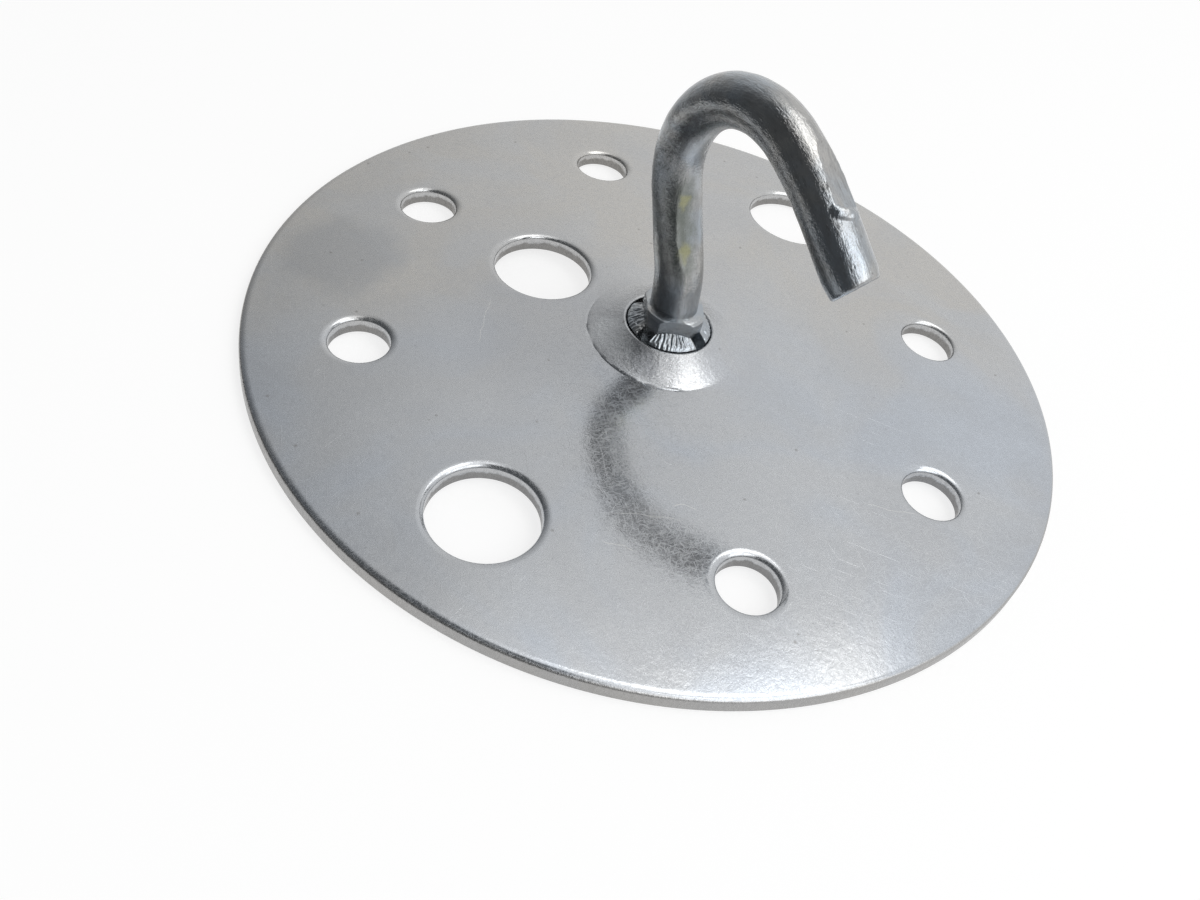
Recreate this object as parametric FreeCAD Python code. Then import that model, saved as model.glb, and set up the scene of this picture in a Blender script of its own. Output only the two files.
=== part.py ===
import FreeCAD, Part
import math
import os

# Ceiling hook: a crowned round plate of pressed sheet with a bent rod staked through its boss.
# Millimetres. The origin is the middle of the plate's back, +Z points out of the plate along
# the hook and +X points to the side that the hook opens to.

# overall sizes
PLATE_D = 87.0
OVERALL_HEIGHT = 34.6

# pressed plate
SHEET = 1.8
CROWN_RISE = 1.3
BACK_LAND = 3.0

# front edges that the punch rolled over: each roll is a few cone bands along an ellipse
RIM_ROLL_WIDTH = 0.8
RIM_ROLL_DEPTH = 0.55
HOLE_ROLL_WIDTH = 0.6
HOLE_ROLL_DEPTH = 0.42
BOSS_ROLL_WIDTH = 0.25
BOSS_ROLL_DEPTH = 0.18
ROLL_BANDS = 3

# boss in the middle of the plate
BOSS_HOLE_D = 9.2
BOSS_LAND = 0.3
BOSS_FLANK = 3.6
BOSS_HEIGHT = 1.62
BOSS_FOOT_DEG = 17.0
BOSS_SHOULDER_R = 0.15

# screw holes and cable holes, counted round the pitch circle from FIRST_HOLE_DEG
PITCH_D = 64.0
PLACES = 8
FIRST_HOLE_DEG = 22.5
SCREW_HOLE_D = 6.2
CABLE_HOLE_D = 10.7
CABLE_PLACES = (2, 6)
INNER_HOLE_PLACE = 4
INNER_HOLE_PITCH_D = 32.0

# bent rod, with leans taken from +Z and positive towards the side that the hook opens to
ROD_D = 5.0
FOOT_X = 0.3
FOOT_SINK = 0.46
FOOT_LEAN_DEG = -8.0
FOOT_LENGTH = 4.9
STEM_LEAN_DEG = -24.2
STEM_BEND_R = 10.6
HOOK_BEND_R = 9.4
HOOK_BEND_DEG = 135.2
TIP_BEND_R = 28.0
TIP_BEND_DEG = 13.6
TIP_LENGTH = 7.1
TIP_TAPER_LENGTH = 1.6
TIP_TAPER = 0.22
TIP_EDGE = 0.35
TIP_SHEAR_DEG = 6.5
TIP_SHEAR_TURN_DEG = 115.0

# flat that the bending pin pressed into the stem, and the scoop and burr near the tip
FLAT_TURN_DEG = 168.0
FLAT_DEPTH = 0.34
FLAT_LENGTH = 9.6
SCOOP_TURN_DEG = -15.0
SCOOP_FROM_TIP = 6.6
SCOOP_LENGTH = 5.8
SCOOP_DEPTH = 0.55
BURR_TURN_DEG = 3.0
BURR_TILT_DEG = -22.0
BURR_R = 0.5
BURR_RISE = 0.35
BURR_CURVE_R = 1.3

# staked foot: squared collar, ring in the boss hole, head behind the plate
COLLAR_STEP = 0.48
COLLAR_CORNER_STEP = 0.95
COLLAR_RISE = 2.6
COLLAR_CHAMFER = 0.35
COLLAR_CORNER_DEG = 13.0
COLLAR_SIDES = 4
RING_CLEARANCE = 0.12
RING_OUTER_RISE = 0.1
RING_INNER_RISE = 1.04
RING_SLOT = 1.6
RING_SLOT_DEPTH = 1.0
HEAD_BEARING = 1.8
HEAD_EDGE = 0.9
HEAD_BACK_D = 7.0
HEAD_BACK_CLEARANCE = 0.5
SEAT_CLEARANCE = 0.04

# how near an edge has to lie to the place where it is looked for
EDGE_MATCH = 0.01

UP = FreeCAD.Vector(0, 0, 1)
LENGTHWAYS = FreeCAD.Vector(1, 0, 0)
ORIGIN = FreeCAD.Vector(0, 0, 0)
SIDEWAYS = FreeCAD.Vector(0, -1, 0)

plate_r = PLATE_D / 2
boss_hole_r = BOSS_HOLE_D / 2
boss_top_r = boss_hole_r + BOSS_LAND
boss_r = boss_top_r + BOSS_FLANK
rod_r = ROD_D / 2
crown_span = plate_r - BACK_LAND
crown_r = (crown_span ** 2 + CROWN_RISE ** 2) / (2 * CROWN_RISE)
front_r = crown_r + SHEET
crown_centre_z = CROWN_RISE - crown_r


def at(radius, z):
    """A point of a profile in the XZ plane."""
    return FreeCAD.Vector(radius, 0, z)


def front_z(radius):
    """Height of the crowned front, one sheet away from the back."""
    return crown_centre_z + math.sqrt(front_r ** 2 - radius ** 2)


crease_z = front_z(boss_r)
boss_top_z = crease_z + BOSS_HEIGHT
boss_slope = BOSS_HEIGHT / (boss_r - boss_top_r)
boss_drop = SHEET * math.sqrt(1 + boss_slope ** 2)


def boss_inside_z(radius):
    """Height of the cone inside the boss, one sheet under its flank."""
    return boss_top_z - boss_drop - boss_slope * (radius - boss_top_r)


def line(start, end):
    return Part.LineSegment(start, end).toShape()


def arc(start, middle, end):
    return Part.Arc(start, middle, end).toShape()


def polygon_edges(points):
    return [line(a, b) for a, b in zip(points, points[1:])]


def revolve(edges):
    """A closed profile in the XZ plane turned once round the Z axis."""
    return Part.Face(Part.Wire(edges)).revolve(ORIGIN, UP, 360)


def round_edges(shape, x, y, radius, low_z, high_z):
    """The edges that run round a vertical axis at this radius, between two heights."""
    found = []
    for edge in shape.Edges:
        points = edge.discretize(9)
        on_radius = all(abs(math.hypot(p.x - x, p.y - y) - radius) < EDGE_MATCH for p in points)
        if on_radius and all(low_z < p.z < high_z for p in points):
            found.append(edge)
    return found


def hole_places():
    """Each punched hole as (x, y, diameter)."""
    step = 360.0 / PLACES
    places = []
    for index in range(PLACES):
        turn = math.radians(FIRST_HOLE_DEG + step * index)
        diameter = CABLE_HOLE_D if index in CABLE_PLACES else SCREW_HOLE_D
        places.append((PITCH_D / 2 * math.cos(turn), PITCH_D / 2 * math.sin(turn), diameter))
    turn = math.radians(FIRST_HOLE_DEG + step * INNER_HOLE_PLACE)
    inner_r = INNER_HOLE_PITCH_D / 2
    places.append((inner_r * math.cos(turn), inner_r * math.sin(turn), CABLE_HOLE_D))
    return places


def crown_ball(radius):
    """A ball with the crown's middle point, turned so that its poles and seam stay off the plate."""
    middle = FreeCAD.Vector(0, 0, crown_centre_z)
    ball = Part.makeSphere(radius, middle, LENGTHWAYS)
    ball.rotate(middle, LENGTHWAYS, 180)
    return ball


def roll_points(edge_r, width, depth, side, top_z):
    """The rolled edge in section, from the wall at edge_r up to a front of this height."""
    middle_r = edge_r - side * width
    middle_z = top_z(middle_r) - depth
    points = []
    for band in range(ROLL_BANDS + 1):
        turn = math.pi / 2 * band / ROLL_BANDS
        points.append(at(middle_r + side * width * math.cos(turn), middle_z + depth * math.sin(turn)))
    return points


def hole_mouth(hole_r, width, depth, top_z):
    """What a rolled hole edge takes away, drawn round the Z axis under a front of this height."""
    roll = roll_points(hole_r, width, depth, -1, top_z)
    reach = roll[-1] + (roll[-1] - roll[-2])
    low = roll[0] + (roll[0] - roll[1])
    return revolve(polygon_edges([low] + roll[1:-1] + [reach, at(0, reach.z), at(0, low.z), low]))


def flat_top_z(radius):
    return 0.0


def crown_fall_z(radius):
    """Height of the crowned front round any of its points, from that point."""
    return math.sqrt(front_r ** 2 - radius ** 2) - front_r


def make_plate():
    plate = Part.makeCylinder(plate_r, boss_top_z).common(crown_ball(front_r)).cut(crown_ball(crown_r))

    # boss pulled up in the middle, with a flank that steepens from its foot, and its hole
    foot, shoulder = at(boss_r, crease_z), at(boss_top_r, boss_top_z)
    chord = shoulder - foot
    hollow = math.atan(boss_slope) - math.radians(BOSS_FOOT_DEG)
    sag = at(-chord.z, chord.x) * (math.tan(hollow / 2) / 2)
    sheet_middle_z = crease_z - SHEET / 2
    boss = revolve([arc(foot, (foot + shoulder) / 2 + sag, shoulder)] + polygon_edges([
        shoulder,
        at(0, boss_top_z),
        at(0, sheet_middle_z),
        at(boss_r, sheet_middle_z),
        foot,
    ]))
    inside_r = boss_top_r + (boss_top_z - boss_drop) / boss_slope
    inside = revolve(polygon_edges([
        at(0, 0),
        at(inside_r, 0),
        at(boss_hole_r, boss_inside_z(boss_hole_r)),
        at(boss_hole_r, boss_top_z),
        at(0, boss_top_z),
        at(0, 0),
    ]))
    plate = plate.fuse(boss).cut(inside)
    above_crease = crease_z + BOSS_HEIGHT / 2
    edge = round_edges(plate, 0, 0, boss_top_r, above_crease, boss_top_z + EDGE_MATCH)
    plate = plate.makeFillet(BOSS_SHOULDER_R, edge)

    # punched holes and their rolled front edges
    crown_middle = FreeCAD.Vector(0, 0, crown_centre_z)
    for x, y, diameter in hole_places():
        plate = plate.cut(Part.makeCylinder(diameter / 2, boss_top_z, FreeCAD.Vector(x, y, 0)))
        mouth = hole_mouth(diameter / 2, HOLE_ROLL_WIDTH, HOLE_ROLL_DEPTH, crown_fall_z)
        spot = FreeCAD.Vector(x, y, front_z(math.hypot(x, y)))
        mouth.Placement = FreeCAD.Placement(spot, FreeCAD.Rotation(UP, spot - crown_middle))
        plate = plate.cut(mouth)
    mouth = hole_mouth(boss_hole_r, BOSS_ROLL_WIDTH, BOSS_ROLL_DEPTH, flat_top_z)
    mouth.translate(FreeCAD.Vector(0, 0, boss_top_z))
    plate = plate.cut(mouth)

    # rolled front edge of the rim
    roll = roll_points(plate_r, RIM_ROLL_WIDTH, RIM_ROLL_DEPTH, 1, front_z)
    reach = roll[-1] + (roll[-1] - roll[-2])
    low = roll[0] + (roll[0] - roll[1])
    rim = revolve(polygon_edges([low] + roll[1:-1] + [reach, at(low.x, reach.z), low]))
    return plate.cut(rim)


class Walk:
    """A path of straight runs and tangent arcs in the XZ plane, led by its lean from +Z."""

    def __init__(self, x, z, lean_deg):
        self.point = at(x, z)
        self.lean = math.radians(lean_deg)
        self.edges = []

    def ahead(self):
        return at(math.sin(self.lean), math.cos(self.lean))

    def run(self, length):
        end = self.point + self.ahead() * length
        self.edges.append(line(self.point, end))
        self.point = end

    def bend(self, radius, turn_deg):
        turn = math.radians(turn_deg)
        side = math.copysign(1, turn)
        centre = self.point + at(math.cos(self.lean), -math.sin(self.lean)) * radius * side
        spots = []
        for share in (0.5, 1.0):
            lean = self.lean + turn * share
            spots.append(centre - at(math.cos(lean), -math.sin(lean)) * radius * side)
        self.edges.append(arc(self.point, spots[0], spots[1]))
        self.point = spots[1]
        self.lean += turn

    def spot(self, from_end):
        """The point and the way ahead at a distance back from the end of the path."""
        left = from_end
        for edge in reversed(self.edges):
            if left <= edge.Length:
                parameter = edge.getParameterByLength(edge.Length - left)
                return edge.valueAt(parameter), edge.tangentAt(parameter)
            left -= edge.Length
        raise ValueError("the path is shorter than that")


def outwards(ahead, turn_deg):
    """The way out of the rod's surface, turned round the rod from the outer side of the bend."""
    return FreeCAD.Rotation(ahead, turn_deg).multVec(SIDEWAYS.cross(ahead))


def placed(shape, point, ahead, out):
    """A shape drawn with X along the rod and Z out of it, moved to a point of the rod."""
    across = out.cross(ahead)
    matrix = FreeCAD.Matrix(
        ahead.x, across.x, out.x, point.x,
        ahead.y, across.y, out.y, point.y,
        ahead.z, across.z, out.z, point.z,
        0, 0, 0, 1,
    )
    moved = shape.copy()
    moved.Placement = FreeCAD.Placement(matrix).multiply(shape.Placement)
    return moved


def prism(edges, width):
    """A closed outline in the XZ plane, drawn out by half its width to each side."""
    face = Part.Face(Part.Wire(edges))
    face.translate(FreeCAD.Vector(0, -width / 2, 0))
    return face.extrude(FreeCAD.Vector(0, width, 0))


def rod_path():
    """The middle line of the rod from the foot to the tip, and the middle of its straight stem."""
    walk = Walk(FOOT_X, boss_top_z - FOOT_SINK, FOOT_LEAN_DEG)
    walk.run(FOOT_LENGTH)
    walk.bend(STEM_BEND_R, STEM_LEAN_DEG - FOOT_LEAN_DEG)
    bend_rise = HOOK_BEND_R * (1 - math.sin(walk.lean))
    stem_rise = OVERALL_HEIGHT - rod_r - bend_rise - walk.point.z
    stem_length = stem_rise / math.cos(walk.lean)
    stem_middle = walk.point + walk.ahead() * (stem_length / 2)
    stem_ahead = walk.ahead()
    walk.run(stem_length)
    walk.bend(HOOK_BEND_R, HOOK_BEND_DEG)
    walk.bend(TIP_BEND_R, TIP_BEND_DEG)
    walk.run(TIP_LENGTH - TIP_TAPER_LENGTH)
    return walk, stem_middle, stem_ahead


def make_rod():
    walk, stem_middle, stem_ahead = rod_path()
    foot = walk.edges[0]
    section = Part.Circle(foot.firstVertex().Point, foot.tangentAt(foot.FirstParameter), rod_r)
    rod = Part.Wire(walk.edges).makePipeShell([Part.Wire(section.toShape())], True, False)

    # cropped end, a little tapered, broken at its edge and out of square
    ahead = walk.ahead()
    end = walk.point + ahead * TIP_TAPER_LENGTH
    taper_r = rod_r - TIP_TAPER
    edge_r = taper_r - TIP_EDGE
    rod = rod.fuse(Part.makeCone(rod_r, taper_r, TIP_TAPER_LENGTH, walk.point, ahead))
    rod = rod.fuse(Part.makeCone(taper_r, edge_r, TIP_EDGE, end, ahead))
    long_side = outwards(ahead, TIP_SHEAR_TURN_DEG)
    shear = FreeCAD.Rotation(ahead.cross(long_side), -TIP_SHEAR_DEG)
    block = Part.makeBox(ROD_D, 2 * ROD_D, 2 * ROD_D, FreeCAD.Vector(0, -ROD_D, -ROD_D))
    rod = rod.cut(placed(block, end, shear.multVec(ahead), shear.multVec(long_side)))

    # flat pressed into the inner side of the stem
    half = FLAT_LENGTH / 2
    skin_z = rod_r + FLAT_DEPTH
    roller = [arc(at(-half, rod_r), at(0, rod_r - FLAT_DEPTH), at(half, rod_r))]
    roller += polygon_edges([at(half, rod_r), at(half, skin_z), at(-half, skin_z), at(-half, rod_r)])
    flat_out = outwards(stem_ahead, FLAT_TURN_DEG)
    rod = rod.cut(placed(prism(roller, ROD_D), stem_middle, stem_ahead, flat_out))

    # scoop on the outer side of the tip, and the burr that it pushed up
    back = SCOOP_FROM_TIP - TIP_TAPER_LENGTH
    stop, stop_ahead = walk.spot(back)
    start, start_ahead = walk.spot(back + SCOOP_LENGTH)
    out = outwards(stop_ahead, SCOOP_TURN_DEG)
    skin = start + outwards(start_ahead, SCOOP_TURN_DEG) * rod_r
    floor = stop + out * (rod_r - SCOOP_DEPTH)
    slide = floor - skin
    length = slide.Length
    slide.normalize()
    lift = slide.cross(out.cross(slide)).normalize()
    chip_corners = [at(0, 0), at(length, 0), at(length, rod_r), at(0, rod_r), at(0, 0)]
    chip = prism(polygon_edges(chip_corners), ROD_D)
    rod = rod.cut(placed(chip, skin, slide, lift))
    burr_out = outwards(stop_ahead, BURR_TURN_DEG)
    burr_ahead = FreeCAD.Rotation(burr_out, BURR_TILT_DEG).multVec(stop_ahead)
    burr_middle = stop + burr_out * (rod_r + BURR_RISE - BURR_R - BURR_CURVE_R) + stop_ahead * BURR_R
    return rod.fuse(Part.makeTorus(BURR_CURVE_R, BURR_R, burr_middle, burr_ahead))


def make_foot():
    """The staked foot: collar and ring in front of the sheet, head behind it."""
    ring_r = boss_hole_r - RING_CLEARANCE
    ring_outer_z = boss_top_z + RING_OUTER_RISE
    ring_inner_z = boss_top_z + RING_INNER_RISE
    flat_r = rod_r + COLLAR_STEP
    corner_r = rod_r + COLLAR_CORNER_STEP
    collar_top_z = boss_top_z + COLLAR_RISE
    head_r = boss_hole_r + HEAD_BEARING
    shoulder_z = boss_inside_z(ring_r) - SEAT_CLEARANCE
    head_edge_z = boss_inside_z(head_r) - SEAT_CLEARANCE

    # ring that fills the boss hole, slotted at the corners of the collar
    ring = revolve(polygon_edges([
        at(0, shoulder_z),
        at(ring_r, shoulder_z),
        at(ring_r, ring_outer_z),
        at(flat_r, ring_inner_z),
        at(0, ring_inner_z),
        at(0, shoulder_z),
    ]))
    slot_corner = FreeCAD.Vector(0, -RING_SLOT / 2, ring_outer_z - RING_SLOT_DEPTH)
    for index in range(COLLAR_SIDES):
        slot = Part.makeBox(ring_r, RING_SLOT, ring_inner_z, slot_corner)
        slot.rotate(ORIGIN, UP, COLLAR_CORNER_DEG + index * 360 / COLLAR_SIDES)
        ring = ring.cut(slot)

    # squared collar with chamfered corners
    collar_low = FreeCAD.Vector(-flat_r, -flat_r, shoulder_z)
    collar = Part.makeBox(2 * flat_r, 2 * flat_r, collar_top_z - shoulder_z, collar_low)
    collar.rotate(ORIGIN, UP, COLLAR_CORNER_DEG + 180 / COLLAR_SIDES)
    collar = collar.common(revolve(polygon_edges([
        at(0, shoulder_z),
        at(corner_r, shoulder_z),
        at(corner_r, collar_top_z - COLLAR_CHAMFER),
        at(corner_r - 2 * COLLAR_CHAMFER, collar_top_z),
        at(0, collar_top_z),
        at(0, shoulder_z),
    ])))

    # upset head that bears on the cone inside the boss
    head = revolve(polygon_edges([
        at(0, HEAD_BACK_CLEARANCE),
        at(HEAD_BACK_D / 2, HEAD_BACK_CLEARANCE),
        at(head_r, head_edge_z - HEAD_EDGE),
        at(head_r, head_edge_z),
        at(ring_r, shoulder_z),
        at(0, shoulder_z),
        at(0, HEAD_BACK_CLEARANCE),
    ]))
    return ring.fuse([collar, head])


def make_hook():
    return make_rod().fuse(make_foot()).removeSplitter()


os.makedirs("parts", exist_ok=True)
for name, shape in (("mounting_plate", make_plate()), ("hook", make_hook())):
    shape.exportStep(f"parts/{name}.step")
    print(name, "valid:", shape.isValid(), "solids:", len(shape.Solids), "volume:", round(shape.Volume, 2))
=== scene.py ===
import bmesh
import bpy
import math
import numpy as np
from mathutils import Matrix, Vector, noise
from mathutils.geometry import delaunay_2d_cdt


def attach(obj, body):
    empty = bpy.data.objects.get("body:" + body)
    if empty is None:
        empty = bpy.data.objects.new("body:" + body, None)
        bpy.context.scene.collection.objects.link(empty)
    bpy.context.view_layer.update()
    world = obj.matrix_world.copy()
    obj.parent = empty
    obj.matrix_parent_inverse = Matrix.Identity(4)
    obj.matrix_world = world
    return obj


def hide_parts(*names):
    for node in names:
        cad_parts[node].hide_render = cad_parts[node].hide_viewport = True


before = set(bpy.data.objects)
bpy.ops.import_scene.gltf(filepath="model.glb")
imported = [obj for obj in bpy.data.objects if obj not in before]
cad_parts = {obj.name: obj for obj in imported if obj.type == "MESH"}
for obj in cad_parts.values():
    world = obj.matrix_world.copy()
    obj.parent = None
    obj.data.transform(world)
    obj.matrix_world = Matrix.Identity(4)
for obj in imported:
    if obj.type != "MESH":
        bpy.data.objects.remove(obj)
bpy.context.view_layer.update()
MM = 0.001

# All sizes are in millimetres. A roll is the (width, depth) of a rolled edge, and leads
# are the distances from that edge at which the flat face before it gets a loop of points.

# plate
PLATE_R = 43.487
SHEET = 1.8
CROWN_RISE = 1.3
CROWN_SPAN = 40.5
RIM_ROLL = (0.7, 0.43)
RIM_LEADS = (0.4, 0.12)
RIM_POINTS = 360
BACK_EDGE = 0.12
ROLL_TURNS = [math.radians(90 - 15 * k) for k in range(7)]
CROWN_R = (CROWN_SPAN ** 2 + CROWN_RISE ** 2) / (2 * CROWN_RISE)
CROWN_Z = CROWN_RISE - CROWN_R
CROWN_FALL = 1 / 1262  # of the front, for each square millimetre from the middle

# holes of the plate
HOLE_COUNT = 8
HOLE_CIRCLE_R = 32
HOLE_START_DEG = 22.5
HOLE_STEP_DEG = 45
SCREW_HOLE_R, SCREW_HOLE_POINTS = 3.1, 72
CABLE_HOLE_R, CABLE_HOLE_POINTS = 5.35, 112
CABLE_HOLES = (2, 6)
INNER_HOLE = (16, 4)
HOLE_ROLL = (0.75, 0.42)
HOLE_LEADS = (0.35, 0.1)
WALL_LIFT = 0.02

# boss of the plate
BOSS_R = 8.5
BOSS_TOP_R = 4.9
BOSS_HEIGHT = 1.62
BOSS_FOOT = math.radians(17.0)
BOSS_HOLE_R = 4.6
BOSS_LEADS = (1.0, 0.62, 0.32, 0.09)
BOSS_POINTS = 240
LIP_ROLL = (0.25, 0.18)
SHOULDER_ROUND = 0.15
FLANK_STEPS = 12
CRACK_DEG, CRACK_HALF_DEG, CRACK_DEPTH = -85, 75, 0.1
SOFT_FOOT, SOFT_FOOT_LESS = 0.26, 0.0478

# spacing of the points that fill the front and the back
FRONT_SPACING, BACK_SPACING = 1.3, 2.2
FILL_SLACK = 0.004

# the rod's middle line in the plane y = 0: straight runs and tangent arcs, led by the lean from +Z
ROD_R = 2.5
ROD_POINTS = 112
OVERALL_HEIGHT = 34.6
FOOT_LEAN = math.radians(-8.0)
FOOT_RUN = 4.9
STEM_LEAN = math.radians(-24.2)
STEM_BEND_R = 10.6
HOOK_BEND_R = 9.4
HOOK_TURN = math.radians(135.2)
TIP_BEND_R = 28.0
TIP_TURN = math.radians(13.6)
TIP_RUN = 7.1
PATH_STEP = 0.1

# marks on the rod; degrees count from the outer side of the bend
FLAT_DEG, FLAT_HALF_LENGTH, FLAT_DEPTH = 168, 4.8, 0.34
SCOOP_DEG, SCOOP_LENGTH, SCOOP_FROM_TIP = -15, 5.8, 6.6
SCOOP_DEPTH, SCOOP_HOLLOW, SCOOP_HALF_WIDTH = 0.55, 0.2, 1.5
SCOOP_LIP_WIDTH, SCOOP_LIP_RISE = 0.07, 0.05
BURR_DEG, BURR_TILT, BURR_AHEAD = 3.0, math.radians(-22), 0.5
BURR_HALF_LENGTH, BURR_HALF_WIDTH = 1.62, 0.62
BURR_RISE, BURR_SUNK = 0.46, 0.14
FACING = 0.2

# cropped tip: length and fall of its taper, its rolled edge, and how far it is out of square
TAPER_LENGTH, TAPER_FALL, TIP_EDGE = 1.6, 0.22, 0.35
TIP_LONG_DEG = 115
TIP_SHEAR = math.tan(math.radians(6.5))
TIP_RINGS = 14

# staked foot
COLLAR_FLAT_R = ROD_R + 0.48
COLLAR_CORNER_R = ROD_R + 0.95
COLLAR_CORNER_DEG = 13.0
COLLAR_CHAMFER = 0.35
COLLAR_HEIGHT = 2.6
COLLAR_STEPS = 10
RING_R = BOSS_HOLE_R - 0.12
RING_SLOT = 1.6
SLOT_DEPTH = 1.0
PETAL_COLUMNS, PETAL_ROWS = 150, 14
TEETH = 54
HEAD_R = BOSS_HOLE_R + 1.8
HEAD_POINTS = 96
HEAD_BOTTOM_Z = 0.5
SEAT_GAP = 0.04


def back_z(r):
    """Height of the plate's hollow back, which is flat near the rim."""
    return np.maximum(CROWN_Z + np.sqrt(CROWN_R ** 2 - r ** 2), 0.0)


def front_z(r):
    """Height of the plate's crowned front."""
    return CROWN_Z + np.sqrt((CROWN_R + SHEET) ** 2 - r ** 2)


CREASE_Z = float(front_z(BOSS_R))
BOSS_TOP_Z = CREASE_Z + BOSS_HEIGHT
BOSS_SLOPE = BOSS_HEIGHT / (BOSS_R - BOSS_TOP_R)
BOSS_DROP = SHEET * math.sqrt(1 + BOSS_SLOPE ** 2)
BOSS_INSIDE_R = BOSS_TOP_R + (BOSS_TOP_Z - BOSS_DROP - CROWN_RISE + 0.06) / BOSS_SLOPE
RING_OUTER_Z, RING_INNER_Z = BOSS_TOP_Z + 0.1, BOSS_TOP_Z + 1.04
ROD_START = (0.3, BOSS_TOP_Z - 0.46)


def boss_inside_z(r):
    """Height of the boss's inside."""
    return BOSS_TOP_Z - BOSS_DROP - BOSS_SLOPE * (r - BOSS_TOP_R)


def hole_places():
    """Each hole as (x, y, radius)."""

    def place(far, step, radius):
        a = math.radians(HOLE_START_DEG + HOLE_STEP_DEG * step)
        return far * math.cos(a), far * math.sin(a), radius

    places = []
    for j in range(HOLE_COUNT):
        places.append(place(HOLE_CIRCLE_R, j, CABLE_HOLE_R if j in CABLE_HOLES else SCREW_HOLE_R))
    return places + [place(*INNER_HOLE, CABLE_HOLE_R)]


def turn_outward(mesh):
    """Turn every face of the closed shells to the outside."""
    work = bmesh.new()
    work.from_mesh(mesh)
    bmesh.ops.recalc_face_normals(work, faces=work.faces)
    work.to_mesh(mesh)
    work.free()


def link(obj):
    bpy.context.scene.collection.objects.link(obj)
    return obj


def make_object(name, shell, sharp_deg):
    """A mesh object from a shell in millimetres, smooth but for its real edges."""
    mesh = bpy.data.meshes.new(name)
    mesh.from_pydata([tuple(float(c) * MM for c in v) for v in shell.verts], [], shell.faces)
    mesh.validate()
    turn_outward(mesh)
    mesh.shade_smooth()
    mesh.set_sharp_from_angle(angle=math.radians(sharp_deg))
    return link(bpy.data.objects.new(name, mesh))


class Shell:
    """Collects closed rings of points and the faces between them into one mesh."""

    def __init__(self):
        self.verts = []
        self.faces = []

    def ring(self, points):
        start = len(self.verts)
        self.verts += [tuple(p) for p in points]
        return list(range(start, len(self.verts)))

    def flat_ring(self, outline, z):
        return self.ring([(a, b, z) for a, b in outline])

    def skin(self, rings, flip=False):
        """Faces between each ring and the next."""
        for low, high in zip(rings, rings[1:]):
            if flip:
                low, high = high, low
            n = len(low)
            for i in range(n):
                k = (i + 1) % n
                self.faces.append((low[i], low[k], high[k], high[i]))

    def fan(self, ring, point, flip=False):
        """Faces between a ring and one point."""
        middle = self.ring([point])[0]
        n = len(ring)
        for i in range(n):
            k = (i + 1) % n
            self.faces.append((ring[k], ring[i], middle) if flip else (ring[i], ring[k], middle))


def circle(x, y, r, n):
    a = np.arange(n) * 2 * math.pi / n
    return np.c_[x + r * np.cos(a), y + r * np.sin(a)]


def fill_between(shell, loops, spacing, height, keep, flip):
    """Triangles between closed loops of points that the shell already has."""
    coords, edges, known = [], [], []
    for loop in loops:
        start = len(coords)
        coords += [Vector(shell.verts[i][:2]) for i in loop]
        known += loop
        edges += [(start + i, start + (i + 1) % len(loop)) for i in range(len(loop))]
    step = spacing * math.sqrt(3) / 2
    rows = int(PLATE_R / step) + 1
    for row in range(-rows, rows + 1):
        for col in range(-rows - 2, rows + 3):
            x, y = (col + 0.5 * (row % 2)) * spacing, row * step
            if keep(x, y, spacing * 0.45):
                coords.append(Vector((x, y)))
                known.append(shell.ring([(x, y, height(x, y))])[0])
    points, _, tris, origin, _, _ = delaunay_2d_cdt(coords, edges, [], 0, 1e-6)
    for tri in tris:
        cx = sum(points[i].x for i in tri) / 3
        cy = sum(points[i].y for i in tri) / 3
        if keep(cx, cy, 0.0):
            ids = [known[origin[i][0]] for i in tri]
            shell.faces.append(tuple(reversed(ids)) if flip else tuple(ids))


def waviness(x, y):
    """Slight unevenness of pressed sheet."""
    p = Vector((x * 0.055, y * 0.055, 0.3))
    q = Vector((x * 0.16, y * 0.16, 4.1))
    return 0.05 * noise.noise(p) + 0.012 * noise.noise(q)


def sheet_z(x, y):
    """Height of the front with its unevenness."""
    return float(front_z(math.hypot(x, y))) + waviness(x, y)


def round_profile(points, radii, steps=7):
    """A polyline in (r, z) with its inner corners rounded."""
    out = [points[0]]
    for a, b, c, radius in zip(points, points[1:], points[2:], radii):
        a, b, c = (np.array(p, float) for p in (a, b, c))
        if radius <= 0:
            out.append(tuple(b))
            continue
        u, v = (a - b) / np.linalg.norm(a - b), (c - b) / np.linalg.norm(c - b)
        half = math.acos(np.clip(u.dot(v), -1, 1)) / 2
        cut = radius / math.tan(half)
        centre = b + (u + v) / np.linalg.norm(u + v) * radius / math.sin(half)
        p, q = b + u * cut - centre, b + v * cut - centre
        for i in range(steps + 1):
            t = i / steps
            w = p * (1 - t) + q * t
            out.append(tuple(centre + w / np.linalg.norm(w) * radius))
    return out + [points[-1]]


def rolled_edge(shell, x, y, r, way, roll, leads, n):
    """Loops over the front and round its rolled edge: way is 1 for a hole and -1 for the rim."""
    width, depth = roll
    loops = []
    for lead in leads:
        ring = circle(x, y, r + way * width + way * lead, n)
        loops.append(shell.ring([(a, b, sheet_z(a, b)) for a, b in ring]))
    for t in ROLL_TURNS:
        ring = circle(x, y, r + way * width * (1 - math.cos(t)), n)
        fall = depth * (1 - math.sin(t))
        loops.append(shell.ring([(a, b, sheet_z(a, b) - fall) for a, b in ring]))
    return loops


def rim_loops(shell):
    """Loops from the front over the rolled rim and its wall to the flat land behind."""
    loops = rolled_edge(shell, 0, 0, PLATE_R, -1, RIM_ROLL, RIM_LEADS, RIM_POINTS)
    for r, z in ((PLATE_R, BACK_EDGE), (PLATE_R - BACK_EDGE, 0.0), (CROWN_SPAN, 0.0)):
        loops.append(shell.flat_ring(circle(0, 0, r, RIM_POINTS), z))
    shell.skin(loops)
    return loops


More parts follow.
